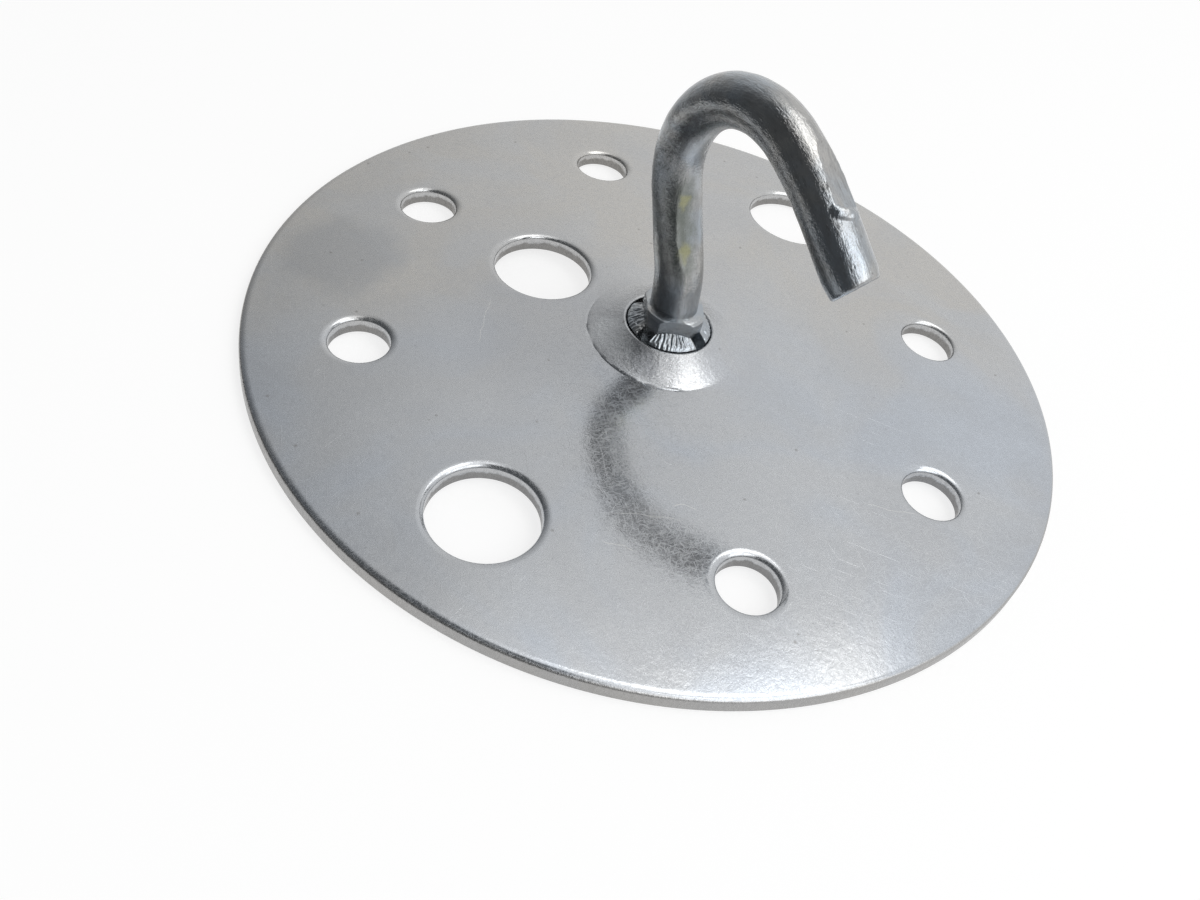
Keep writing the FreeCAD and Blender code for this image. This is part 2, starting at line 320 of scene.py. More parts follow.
def hole_loops(shell, x, y, r):
    """Loops from the front over the rolled edge of a hole and its wall to the back."""
    n = CABLE_HOLE_POINTS if r == CABLE_HOLE_R else SCREW_HOLE_POINTS
    loops = rolled_edge(shell, x, y, r, 1, HOLE_ROLL, HOLE_LEADS, n)
    wall = circle(x, y, r, n)
    loops.append(shell.ring([(a, b, back_z(math.hypot(a, b)) + WALL_LIFT) for a, b in wall]))
    shell.skin(loops, True)
    return loops


def boss_profile():
    """The boss in (r, z), from the front over its top and down its inside; where its crease is."""
    foot, shoulder = np.array((BOSS_R, CREASE_Z)), np.array((BOSS_TOP_R, BOSS_TOP_Z))
    chord = shoulder - foot
    unit = chord / np.linalg.norm(chord)
    out = np.array((-unit[1], unit[0]))
    hollow = math.atan(BOSS_SLOPE) - BOSS_FOOT
    flank_r = np.linalg.norm(chord) / (2 * math.sin(hollow))
    flank = []
    for k in range(FLANK_STEPS):
        a = hollow * (2 * k / FLANK_STEPS - 1)
        along = flank_r * (math.sin(a) + math.sin(hollow))
        sag = flank_r * (math.cos(a) - math.cos(hollow))
        flank.append(tuple(foot + unit * along + out * sag))
    profile = [(BOSS_R + lead, float(front_z(BOSS_R + lead))) for lead in BOSS_LEADS]
    crease = len(profile)
    # one more point close to the crease keeps its crack narrow
    profile += [flank[0], tuple(foot * 0.7 + np.array(flank[1]) * 0.3)] + flank[1:]
    profile = round_profile(
        profile + [tuple(shoulder), (BOSS_HOLE_R + LIP_ROLL[0], BOSS_TOP_Z)],
        [0.0] * (len(profile) - 1) + [SHOULDER_ROUND],
    )
    width, depth = LIP_ROLL
    for t in ROLL_TURNS[1:]:
        profile.append((BOSS_HOLE_R + width * (1 - math.cos(t)), BOSS_TOP_Z - depth * (1 - math.sin(t))))
    profile.append((BOSS_HOLE_R, float(boss_inside_z(BOSS_HOLE_R))))
    profile.append((BOSS_INSIDE_R, float(back_z(BOSS_INSIDE_R))))
    return profile, crease


def boss_loops(shell):
    """Loops of the boss, cracked along one side of its crease and soft-footed on the other."""
    profile, crease = boss_profile()
    loops = []
    for k, (r, z) in enumerate(profile):
        fade = max(0.0, 1 - k / 10)
        soft = 0.0
        if k < crease + 6:
            rise = abs(r - BOSS_R) * math.tan(BOSS_FOOT)
            soft = max(0.0, (math.hypot(rise, SOFT_FOOT) - rise) / 2 - SOFT_FOOT_LESS)
        ring = []
        for a, b in circle(0, 0, r, BOSS_POINTS):
            # degrees from the middle of the crack
            turn = (math.degrees(math.atan2(b, a)) - CRACK_DEG + 180) % 360 - 180
            side = min(1.0, max(0.0, (abs(turn) - 50) / 45))
            lift = waviness(a, b) * fade + soft * side * side * (3 - 2 * side)
            if k == crease:
                share = max(0.0, 1 - (turn / CRACK_HALF_DEG) ** 4)
                ragged = 0.55 + 0.9 * noise.noise(Vector((a * 0.8, b * 0.8, 6.0)))
                lift -= CRACK_DEPTH * share * ragged
            ring.append((a, b, z + lift))
        loops.append(shell.ring(ring))
    shell.skin(loops)
    return loops


def build_plate():
    """The whole plate: rim, boss and holes, with the front and the back filled in between them."""
    shell = Shell()
    places = hole_places()
    rim = rim_loops(shell)
    boss = boss_loops(shell)
    holes = [hole_loops(shell, *place) for place in places]

    def keeper(outer, inner, edge):
        """Whether a place lies between two radii and clear of the holes, by a margin."""

        def keep(x, y, margin):
            d = math.hypot(x, y)
            if d > outer - margin or d < inner + margin:
                return False
            return all(math.hypot(x - a, y - b) > r + edge + margin for a, b, r in places)

        return keep

    front = keeper(
        PLATE_R - RIM_ROLL[0] - RIM_LEADS[0], BOSS_R + BOSS_LEADS[0],
        HOLE_ROLL[0] + HOLE_LEADS[0] - FILL_SLACK,
    )
    fill_between(
        shell, [rim[0], boss[0]] + [hole[0] for hole in holes], FRONT_SPACING, sheet_z, front, False,
    )
    back = keeper(CROWN_SPAN, BOSS_INSIDE_R, -FILL_SLACK)
    fill_between(
        shell, [rim[-1], boss[-1]] + [hole[-1] for hole in holes], BACK_SPACING,
        lambda x, y: float(back_z(math.hypot(x, y))), back, True,
    )
    return make_object("plate_skin", shell, 32)


def walk_path():
    """Points, ways ahead and lengths along the rod's middle line, and the length at mid-stem."""
    x, z = ROD_START
    lean = FOOT_LEAN
    stem_z = z + math.cos(lean) * FOOT_RUN + STEM_BEND_R * (math.sin(lean) - math.sin(STEM_LEAN))
    stem_rise = OVERALL_HEIGHT - ROD_R - HOOK_BEND_R * (1 - math.sin(STEM_LEAN)) - stem_z
    stem = stem_rise / math.cos(STEM_LEAN)
    runs = [
        (FOOT_RUN, 0.0),
        (STEM_BEND_R * abs(STEM_LEAN - lean), -1 / STEM_BEND_R),
        (stem, 0.0),
        (HOOK_BEND_R * HOOK_TURN, 1 / HOOK_BEND_R),
        (TIP_BEND_R * TIP_TURN, 1 / TIP_BEND_R),
        (TIP_RUN - TAPER_LENGTH, 0.0),
    ]
    points, aheads, lengths, starts = [], [], [], []
    along = 0.0

    def note():
        points.append((x, 0.0, z))
        aheads.append((math.sin(lean), 0.0, math.cos(lean)))
        lengths.append(along)

    for length, curve in runs:
        starts.append(along)
        count = max(4, int(length / PATH_STEP))
        d = length / count
        for _ in range(count):
            note()
            mid = lean + curve * d / 2
            x, z = x + math.sin(mid) * d, z + math.cos(mid) * d
            lean += curve * d
            along += d
    note()
    return np.array(points), np.array(aheads), np.array(lengths), starts[2] + stem / 2


def turned(ahead, degrees):
    """The way out of the rod at a turn from the outer side of the bend, positive towards -Y."""
    outer = np.cross((0.0, -1.0, 0.0), ahead)
    a = math.radians(degrees)
    return outer * math.cos(a) + np.cross(ahead, outer) * math.sin(a)


def soft_min(a, b, blend):
    """The smaller of two numbers, with a rounded change from one to the other."""
    h = min(1.0, max(0.0, 0.5 + 0.5 * (b - a) / blend))
    return b * (1 - h) + a * h - blend * h * (1 - h)


def tip_rings(shell, end, ahead, angles):
    """Rings of the cropped end: tapered, rolled over at its edge and out of square."""
    rings = []
    long_side = turned(ahead, TIP_LONG_DEG)
    for k in range(1, TIP_RINGS + 1):
        f = k / TIP_RINGS
        ring = []
        for deg in angles:
            u = turned(ahead, deg)
            a = math.radians(deg)
            rag = 0.05 * noise.noise(Vector((math.cos(a) * 2.2, math.sin(a) * 2.2, 1.0)))
            reach = TAPER_LENGTH + TIP_SHEAR * u.dot(long_side) * (ROD_R - TAPER_FALL) + rag
            s = reach * (1 - (1 - f) ** 1.25)
            left = reach - s
            r = ROD_R - TAPER_FALL * min(1.0, s / TAPER_LENGTH) ** 1.3
            if left < TIP_EDGE:
                r -= TIP_EDGE * (1 - math.sqrt(max(0.0, 1 - (1 - left / TIP_EDGE) ** 2))) * 0.85
            r += 0.015 * noise.noise(Vector(u * 3) + Vector((0, 0, s * 1.5)))
            ring.append(end + u * r + ahead * s)
        rings.append(shell.ring(ring))
    # rough face of the crop
    last = np.array([shell.verts[i] for i in rings[-1]])
    middle = last.mean(0)
    for share in (0.93, 0.7, 0.35):
        ring = []
        for p in last:
            q = middle + (p - middle) * share
            rough = 0.05 * noise.noise(Vector(q * 1.8)) + 0.03 * noise.noise(Vector(q * 5))
            ring.append(q + ahead * (rough - 0.06 * (1 - share)))
        rings.append(shell.ring(ring))
    return rings, middle - ahead * 0.05


def build_rod():
    """The bent rod with the flat on its stem, and the scoop and the burr near its tip."""
    points, aheads, lengths, stem_middle = walk_path()
    angles = np.arange(ROD_POINTS) * 360.0 / ROD_POINTS
    stop_at = lengths[-1] - (SCOOP_FROM_TIP - TAPER_LENGTH)
    start_at = stop_at - SCOOP_LENGTH
    i_stop, i_start = (int(np.argmin(abs(lengths - v))) for v in (stop_at, start_at))
    stop, stop_ahead = points[i_stop], aheads[i_stop]

    # the scoop's floor slides from the skin down to its depth
    skin = points[i_start] + turned(aheads[i_start], SCOOP_DEG) * ROD_R
    floor = stop + turned(stop_ahead, SCOOP_DEG) * (ROD_R - SCOOP_DEPTH)
    slide = floor - skin
    slide_length = np.linalg.norm(slide)
    slide /= slide_length
    lift = turned(stop_ahead, SCOOP_DEG)
    lift = lift - slide * lift.dot(slide)
    lift /= np.linalg.norm(lift)
    scoop_across = np.cross(slide, lift)

    # the burr lies askew across the scoop's lower end
    burr_out = turned(stop_ahead, BURR_DEG)
    burr_ahead = stop_ahead * math.cos(BURR_TILT) + np.cross(burr_out, stop_ahead) * math.sin(BURR_TILT)
    burr_across = np.cross(burr_out, burr_ahead)
    burr_middle = stop + stop_ahead * BURR_AHEAD

    def press_flat(r, u, ahead, s):
        off = (s - stem_middle) / FLAT_HALF_LENGTH
        if abs(off) >= 1:
            return r
        c = u.dot(turned(ahead, FLAT_DEG))
        if c <= FACING:
            return r
        level = ROD_R - FLAT_DEPTH * (1 - off * off)
        return soft_min(r, level / c, 0.05)

    def cut_scoop(r, u, point, s):
        c = u.dot(lift)
        if c <= FACING or not start_at - 2 < s < stop_at + 1:
            return r
        limit = -(point - skin).dot(lift) / c
        place = point + u * min(r, limit) - skin
        if not -0.5 < place.dot(slide) < slide_length:
            return r
        width = place.dot(scoop_across) / SCOOP_HALF_WIDTH
        share = min(1.0, max(0.0, place.dot(slide) / slide_length))
        limit -= SCOOP_HOLLOW * max(0.0, 1 - width * width) * math.sin(math.pi * share ** 0.7)
        lip = math.exp(-((limit - r) / SCOOP_LIP_WIDTH) ** 2) * share
        return soft_min(r, limit, 0.03) + SCOOP_LIP_RISE * lip

    def raise_burr(r, u, point):
        q = point + u * ROD_R - burr_middle
        if q.dot(burr_out) <= 0.6:
            return r
        a, b = q.dot(burr_ahead), q.dot(burr_across)
        bow = a + 0.16 * b * b - 0.1
        reach = 1 - (b / BURR_HALF_LENGTH) ** 2
        if reach <= 0 or abs(bow) >= BURR_HALF_WIDTH:
            return r
        coarse = noise.noise(Vector((b * 1.7, a * 1.7, 2.0)))
        fine = noise.noise(Vector((b * 5, a * 5, 7.0)))
        rag = 0.16 * coarse + 0.1 * fine
        hump = math.sqrt(max(0.0, 1 - (bow / BURR_HALF_WIDTH) ** 2)) * math.sqrt(reach)
        return max(r, ROD_R - BURR_SUNK + (BURR_RISE + 0.5 * rag) * hump)

    shell = Shell()
    rings = []
    for point, ahead, s in zip(points, aheads, lengths):
        ring = []
        for deg in angles:
            u = turned(ahead, deg)
            p = Vector(point + u * ROD_R)
            uneven = 0.03 * noise.noise(p * 0.28) + 0.022 * noise.noise(p * 0.75 + Vector((9, 0, 0)))
            r = press_flat(ROD_R + uneven, u, ahead, s)
            r = raise_burr(cut_scoop(r, u, point, s), u, point)
            ring.append(point + u * r)
        rings.append(shell.ring(ring))
    tip, middle = tip_rings(shell, points[-1], aheads[-1], angles)
    rings += tip
    shell.skin(rings)
    shell.fan(rings[-1], tuple(middle))
    shell.fan(rings[0], tuple(points[0]), True)
    obj = make_object("hook_rod", shell, 40)

    # UV: the turn round the rod, and the length along it in decimetres
    layer = obj.data.uv_layers.new(name="UVMap")
    last = len(lengths) - 1
    for face in obj.data.polygons:
        row, column = divmod(face.index, ROD_POINTS)
        if row < len(rings) - 1:
            low, high = (lengths[min(k, last)] + PATH_STEP * max(0, k - last) for k in (row, row + 1))
            corners = ((column, low), (column + 1, low), (column + 1, high), (column, high))
            for loop, (turn, along) in zip(face.loop_indices, corners):
                layer.data[loop].uv = (turn / ROD_POINTS, along / 100)
    return obj


def collar_outline(limit):
    """The collar's squared outline with its corners cut at a radius."""
    pts = []
    open_deg = 45
    if limit > COLLAR_FLAT_R:
        open_deg = 45 - math.degrees(math.acos(min(1.0, COLLAR_FLAT_R / limit)))
    for k in range(4):
        corner = COLLAR_CORNER_DEG + 90 * k
        for i in range(COLLAR_STEPS + 1):
            a = math.radians(corner - open_deg + 2 * open_deg * i / COLLAR_STEPS)
            pts.append((limit * math.cos(a), limit * math.sin(a)))
        ends = [math.radians(corner + open_deg), math.radians(corner + 90 - open_deg)]
        p, q = (np.array((math.cos(a), math.sin(a))) for a in ends)
        for i in range(1, COLLAR_STEPS):
            pts.append(tuple((p * (1 - i / COLLAR_STEPS) + q * i / COLLAR_STEPS) * limit))
    return pts


def petal_z(r, a, k):
    """Height of the serrated ring at a radius and an angle, in its petal k."""
    share = (r - COLLAR_FLAT_R) / (RING_R - COLLAR_FLAT_R)
    z = RING_INNER_Z + (RING_OUTER_Z - RING_INNER_Z) * share
    deg = math.degrees(a)
    wave = math.cos(a * TEETH + 3.0 * noise.noise(Vector((deg * 0.08, r * 0.9, k))))
    strength = 0.35 + 0.9 * noise.noise(Vector((deg * 0.13, r * 1.3, 3.0)))
    fade = min(1.0, (RING_R - r) / 0.3 + 0.25)
    z += 0.075 * wave * strength * fade
    z += 0.09 * noise.noise(Vector((r * math.cos(a) * 3.4, r * math.sin(a) * 3.4, 5.0)))
    drop = max(0.0, (r - RING_R + 0.16) / 0.16)
    return z - 0.11 * drop * drop


def build_foot():
    """Collar, serrated ring and head of the staked foot, each closed."""
    shell = Shell()
    shoulder_z = float(boss_inside_z(RING_R)) - SEAT_GAP
    top_z = BOSS_TOP_Z + COLLAR_HEIGHT

    # squared collar with a chamfer
    rows = (
        (COLLAR_CORNER_R, shoulder_z),
        (COLLAR_CORNER_R, top_z - COLLAR_CHAMFER),
        (COLLAR_CORNER_R - 0.6 * COLLAR_CHAMFER, top_z - 0.25 * COLLAR_CHAMFER),
        (COLLAR_CORNER_R - 1.2 * COLLAR_CHAMFER, top_z),
    )
    rings = [shell.flat_ring(collar_outline(max(r, COLLAR_FLAT_R + 0.001)), z) for r, z in rows]
    inside = [(a * 0.6, b * 0.6) for a, b in collar_outline(COLLAR_FLAT_R + 0.05)]
    rings.append(shell.flat_ring(inside, top_z + 0.02))
    shell.skin(rings)
    shell.fan(rings[-1], (0, 0, top_z + 0.02))
    shell.fan(rings[0], (0, 0, shoulder_z), True)

    # petals of the ring, with a slot at every corner of the collar
    radii = np.linspace(COLLAR_FLAT_R - 0.25, RING_R, PETAL_ROWS)
    for k in range(4):
        grid = []
        for i in range(PETAL_COLUMNS + 1):
            column = []
            for r in radii:
                gap = math.degrees(math.asin(RING_SLOT / 2 / r))
                a = math.radians(COLLAR_CORNER_DEG + 90 * k + gap + (90 - 2 * gap) * i / PETAL_COLUMNS)
                column.append((r * math.cos(a), r * math.sin(a), petal_z(r, a, k)))
            column += [(x, y, shoulder_z) for x, y, _ in (column[-1], column[0])]
            grid.append(shell.ring(column))
        shell.skin(grid, True)
        shell.faces += [tuple(grid[0]), tuple(reversed(grid[-1]))]

    # neck with the floor of the slots, and the head that bears on the inside of the boss
    floor_z = RING_OUTER_Z - SLOT_DEPTH
    edge_z = float(boss_inside_z(HEAD_R)) - SEAT_GAP
    neck_r = RING_R - 0.01
    profile = (
        (neck_r, floor_z), (neck_r, shoulder_z),
        (HEAD_R - 0.12, edge_z + 0.06), (HEAD_R, edge_z - 0.06),
        (HEAD_R, edge_z - 0.78), (HEAD_R - 0.15, edge_z - 0.95),
        (3.7, HEAD_BOTTOM_Z + 0.06), (3.4, HEAD_BOTTOM_Z),
    )
    rings = [shell.flat_ring(circle(0, 0, r, HEAD_POINTS), z) for r, z in profile]
    shell.skin(rings, True)
    shell.fan(rings[-1], (0, 0, HEAD_BOTTOM_Z), True)
    shell.fan(rings[0], (0, 0, floor_z))
    return make_object("hook_foot", shell, 28)


class Nodes:
    """Short hands for a node tree."""

    def __init__(self, tree):
        self.tree = tree
        tree.nodes.clear()

    def feed(self, socket, value):
        if isinstance(value, bpy.types.NodeSocket):
            self.tree.links.new(value, socket)
        else:
            socket.default_value = value

    def add(self, kind, inputs=None, **values):
        node = self.tree.nodes.new(kind)
        for key, value in values.items():
            setattr(node, key, value)
        for key, value in (inputs or {}).items():
            self.feed(node.inputs[key], value)
        return node

    def math(self, operation, a, b=0.0, clamp=False):
        return self.add("ShaderNodeMath", {0: a, 1: b}, operation=operation, use_clamp=clamp).outputs[0]

    def times(self, a, b):
        return self.math("MULTIPLY", a, b)

    def plus(self, a, b):
        return self.math("ADD", a, b)

    def most(self, masks):
        """The largest of some masks at each place."""
        most = masks[0]
        for mask in masks[1:]:
            most = self.math("MAXIMUM", most, mask)
        return most

    def vector(self, operation, a, b):
        return self.add("ShaderNodeVectorMath", {0: a, 1: b}, operation=operation).outputs[0]

    def length(self, vector):
        return self.add("ShaderNodeVectorMath", {0: vector}, operation="LENGTH").outputs["Value"]

    def split(self, vector):
        return self.add("ShaderNodeSeparateXYZ", {0: vector}).outputs

    def noise(self, vector, scale, detail=3.0, rough=0.5, distort=0.0):
        inputs = {"Vector": vector, "Scale": scale, "Detail": detail}
        inputs.update({"Roughness": rough, "Distortion": distort})
        return self.add("ShaderNodeTexNoise", inputs).outputs["Fac"]

    def noise_vector(self, vector, scale, detail):
        inputs = {"Vector": vector, "Scale": scale, "Detail": detail}
        return self.add("ShaderNodeTexNoise", inputs).outputs["Color"]

    def ramp(self, value, low, high, out_low=0.0, out_high=1.0):
        """A smooth step from one value to another."""
        inputs = {"Value": value, "From Min": low, "From Max": high, "To Min": out_low, "To Max": out_high}
        node = self.add("ShaderNodeMapRange", inputs, interpolation_type="SMOOTHSTEP")
        return node.outputs["Result"]

    def moved(self, vector, scale=(1, 1, 1), turn=(0, 0, 0), shift=(0, 0, 0)):
        inputs = {"Vector": vector, "Scale": scale, "Rotation": turn, "Location": shift}
        return self.add("ShaderNodeMapping", inputs).outputs[0]

    def mix(self, factor, a, b):
        node = self.add("ShaderNodeMix", data_type="RGBA")
        for place, value in ((0, factor), (6, a), (7, b)):
            self.feed(node.inputs[place], value)
        return node.outputs[2]

    def tinted(self, colour, mask, share, tone):
        """A colour with a share of a tone wherever the mask is."""
        return self.mix(self.times(mask, share), colour, (*tone, 1))

    def bump(self, height, distance, normal=None):
        inputs = {"Height": height, "Distance": distance, "Strength": 1.0}
        if normal is not None:
            inputs["Normal"] = normal
        return self.add("ShaderNodeBump", inputs).outputs[0]

    def wobble(self, coords, scale, reach):
        """A shift that makes the edge of a blob irregular, and its middle value."""
        inputs = {0: self.noise_vector(coords, scale, 3.0), "Scale": reach}
        return self.add("ShaderNodeVectorMath", inputs, operation="SCALE").outputs[0], reach / 2

    def blob(self, coords, middle, size, wobble, edge):
        """A soft patch round a point, from 0 outside to 1 inside."""
        shift, half = wobble
        rel = self.vector("SUBTRACT", self.vector("ADD", coords, shift), tuple(c + half for c in middle))
        far = self.length(self.vector("DIVIDE", rel, size))
        return self.ramp(far, 1.0 + edge, 1.0 - edge)

    def seen(self):
        """1 for what the camera sees, directly, in a reflection or through a piece."""
        path = self.add("ShaderNodeLightPath").outputs
        direct = self.plus(path["Is Camera Ray"], path["Is Glossy Ray"])
        return self.math("ADD", direct, path["Is Transmission Ray"], True)


def scratches(n, mm, turn_deg, shift, low, long_scale=0.16, fine_scale=7.0):
    """Sparse thin scratches along one direction."""
    vector = n.moved(mm, (1, 1, 1), (0, 0, math.radians(turn_deg)), shift)
    vector = n.moved(vector, (long_scale, fine_scale, 1.0))
    return n.ramp(n.noise(vector, 1.0, 1.0, 0.4), low, low + 0.05)


def specks(n, mm, scale, size, share):
    """Scattered round specks, in some of the cells only."""
    cells = n.add("ShaderNodeTexVoronoi", {"Vector": mm, "Scale": scale}).outputs
    number = n.add("ShaderNodeSeparateColor", {0: cells["Color"]}).outputs[0]
    return n.times(n.ramp(cells["Distance"], size, size * 0.4), n.ramp(number, share, share - 0.02))


def nick(n, mm, start, end, width):
    """One thin scratch between two places of the plate."""
    (x0, y0), (x1, y1) = start, end
    turn = -math.atan2(y1 - y0, x1 - x0)
    half = math.hypot(x1 - x0, y1 - y0) / 2
    x, y = (x0 + x1) / 2, (y0 + y1) / 2
    shift_x = -(x * math.cos(turn) - y * math.sin(turn))
    shift_y = -(x * math.sin(turn) + y * math.cos(turn))
    place = n.split(n.moved(mm, (1, 1, 1), (0, 0, turn), (shift_x, shift_y, 0)))
    bow = n.plus(place[1], n.times(n.math("SUBTRACT", n.noise(mm, 0.5, 2.0), 0.5), 1.2))
    across = n.ramp(n.math("ABSOLUTE", bow), width, width * 0.4)
    return n.times(across, n.ramp(n.math("ABSOLUTE", place[0]), half, half * 0.6))


def new_material(name):
    material = bpy.data.materials.new(name)
    material.use_nodes = True
    return material, Nodes(material.node_tree)


def object_mm(n):
    """Places on the piece in millimetres."""
    return n.moved(n.add("ShaderNodeTexCoord").outputs["Object"], (1000, 1000, 1000))


def finish_metal(n, colour, roughness, normal, broad, share):
    """Bright zinc: a clear reflection and a broad one of the same colour."""
    inputs = {"Metallic": 1.0, "Base Color": colour, "Roughness": roughness, "Normal": normal}
    clear = n.add("ShaderNodeBsdfPrincipled", inputs)
    matt = n.add("ShaderNodeBsdfPrincipled", {**inputs, "Roughness": broad})
    both = n.add("ShaderNodeMixShader", {0: share, 1: clear.outputs[0], 2: matt.outputs[0]})
    n.add("ShaderNodeOutputMaterial", {"Surface": both.outputs[0]})


def plate_marks(n, mm):
    """Masks of the plate's scratches, hairlines and nicks."""
    scratch = n.most([
        scratches(n, mm, 24, (3, 11, 0), 0.70),
        scratches(n, mm, -38, (17, 5, 0), 0.715),
        scratches(n, mm, 71, (8, 29, 0), 0.72, 0.22),
        scratches(n, mm, 5, (41, 2, 0), 0.73, 0.3, 9.0),
    ])
    worn = n.ramp(n.noise(n.moved(mm, shift=(5, 50, 0)), 0.09, 2.0), 0.42, 0.62)
    bent = n.vector("ADD", mm, n.noise_vector(mm, 0.7, 2.0))
    hair = n.most([
        scratches(n, bent, turn, shift, low, 0.75, 9.0)
        for turn, shift, low in (
            (12, (2, 6, 0), 0.6), (58, (13, 4, 0), 0.61), (-33, (7, 19, 0), 0.61),
            (-76, (23, 9, 0), 0.61), (101, (31, 3, 0), 0.61),
        )
    ])
    nicks = n.most([
        nick(n, mm, start, end, width)
        for start, end, width in (
            ((17.2, -19.3), (21.4, -13.6), 0.06), ((19.2, -13.7), (20.8, -11.3), 0.05),
            ((19.6, -22.1), (22.2, -19.5), 0.05), ((-12.5, -14.0), (-6.5, -19.5), 0.05),
            ((27.0, 4.0), (31.5, 9.5), 0.05),
        )
    ])
    return n.times(scratch, worn), hair, nicks


def plate_material():
    material, n = new_material("plate_zinc")
    mm = object_mm(n)
    cloud = n.noise(mm, 0.075, 4.0, 0.55, 0.6)
    tint = n.noise(n.moved(mm, shift=(31, 7, 2)), 0.055, 3.0, 0.5, 1.0)
    mottle = n.noise(mm, 0.85, 4.0, 0.6)
    grain = n.noise(mm, 3.2, 3.0, 0.65)
    scratch, hair, nicks = plate_marks(n, mm)
    dirt = specks(n, mm, 0.42, 0.1, 0.32)
    tiny = specks(n, n.moved(mm, shift=(13, 3, 1)), 1.3, 0.16, 0.16)

    # cool on one side of the plate and warm on the other, with clouds
    cool, warm = (0.448, 0.478, 0.52, 1), (0.487, 0.478, 0.46, 1)
    side = n.split(n.moved(mm, turn=(0, 0, math.radians(205))))[0]
    warmth = n.plus(n.ramp(tint, 0.36, 0.64, 0.0, 0.45), n.ramp(side, -12.0, 14.0, 0.0, 0.7))
    colour = n.mix(warmth, cool, warm)
    fine_cloud = n.ramp(n.noise(mm, 1.5, 4.0, 0.65), 0.42, 0.66, 0.0, 0.16)
    colour = n.mix(fine_cloud, colour, (0.37, 0.385, 0.41, 1))
    colour = n.mix(n.ramp(cloud, 0.62, 0.36, 0.0, 0.16), colour, (0.36, 0.37, 0.385, 1))

    # stain near the rim, painted shade below the boss, and on the boss a dark patch and painted light
    wide, narrow = n.wobble(mm, 0.16, 6.0), n.wobble(mm, 0.6, 1.8)
    stain = n.blob(mm, (-25.5, -25.0, 2.0), (6.0, 6.0, 30.0), wide, 0.3)
    colour = n.tinted(colour, stain, 0.5, (0.34, 0.355, 0.375))
    shade = n.blob(mm, (-6.0, -9.5, 2.0), (11.0, 9.5, 30.0), wide, 0.6)
    colour = n.tinted(colour, shade, 0.5, (0.345, 0.36, 0.385))
    # a darker patch on the front of the boss's flank
    boss_dark_patch = n.blob(mm, (2.8, -5.5, 3.9), (2.1, 1.4, 1.6), narrow, 0.45)
    colour = n.tinted(colour, boss_dark_patch, 0.45, (0.19, 0.2, 0.22))
    # painted light that lightens the boss's left flank
    flank_painted_light = n.blob(mm, (-1.5, -6.2, 3.8), (2.8, 1.9, 2.0), narrow, 0.5)
    colour = n.tinted(colour, flank_painted_light, 0.6, (0.66, 0.68, 0.70))
    colour = n.tinted(colour, n.ramp(mottle, 0.6, 0.75), 0.14, (0.3, 0.31, 0.33))
    colour = n.tinted(colour, scratch, 0.1, (0.62, 0.62, 0.62))
    colour = n.tinted(colour, nicks, 0.5, (0.66, 0.66, 0.64))
    colour = n.tinted(colour, dirt, 0.45, (0.2, 0.19, 0.18))
    colour = n.tinted(colour, tiny, 0.3, (0.24, 0.24, 0.25))

    # the rim's sheared wall
    far = n.length(n.moved(mm, (1, 1, 0)))
    wall = n.ramp(far, 43.2, 43.4)
    colour = n.tinted(colour, wall, 0.7, (0.39, 0.375, 0.355))

    # walls of the punched holes: the torn zone below, made darker with painted shade down inside the hole,
    # and lighter above, measured from the crown
    lie = n.split(n.add("ShaderNodeNewGeometry").outputs["Normal"])[2]
    steep = n.times(n.ramp(n.math("ABSOLUTE", lie), 0.3, 0.1), n.ramp(far, 43.0, 42.0))
    height = n.plus(n.split(mm)[2], n.times(n.times(far, far), CROWN_FALL))
    height = n.plus(height, n.ramp(mottle, 0.3, 0.7, -0.15, 0.15))
    # the torn zone, darkened further by painted shade inside the hole
    colour = n.tinted(colour, steep, n.ramp(height, 2.3, 2.05, 0.0, 0.62), (0.15, 0.14, 0.13))
    colour = n.tinted(colour, steep, n.ramp(height, 2.2, 2.45, 0.0, 0.4), (0.62, 0.62, 0.62))

    # the drawn boss is rougher and dented
    drawn = n.blob(mm, (0.0, 0.0, 3.0), (8.2, 8.2, 30.0), ((0.0, 0.0, 0.0), 0.0), 0.12)
    dents = n.times(n.noise(mm, 2.1, 4.0, 0.65), n.times(drawn, n.ramp(cloud, 0.4, 0.6, 0.4, 1.0)))
    torn = n.times(n.noise(n.moved(mm, (2.6, 2.6, 0.5)), 1.0, 4.0, 0.65), wall)
    rough = n.plus(n.ramp(cloud, 0.3, 0.7, 0.095, 0.135), n.ramp(grain, 0.35, 0.7, -0.015, 0.05))
    for mask, more in ((wall, 0.14), (scratch, 0.05), (drawn, 0.1)):
        rough = n.plus(rough, n.times(mask, more))

    normal = None
    for relief, depth in ((mottle, 0.012), (dents, 0.085), (torn, 0.06), (grain, 0.005), (scratch, 0.003)):
        normal = n.bump(relief, depth * MM, normal)
    marks = n.times(n.most([hair, nicks]), 0.4)
    finish_metal(n, colour, rough, normal, 0.55, n.plus(n.ramp(cloud, 0.35, 0.65, 0.14, 0.22), marks))
    return material


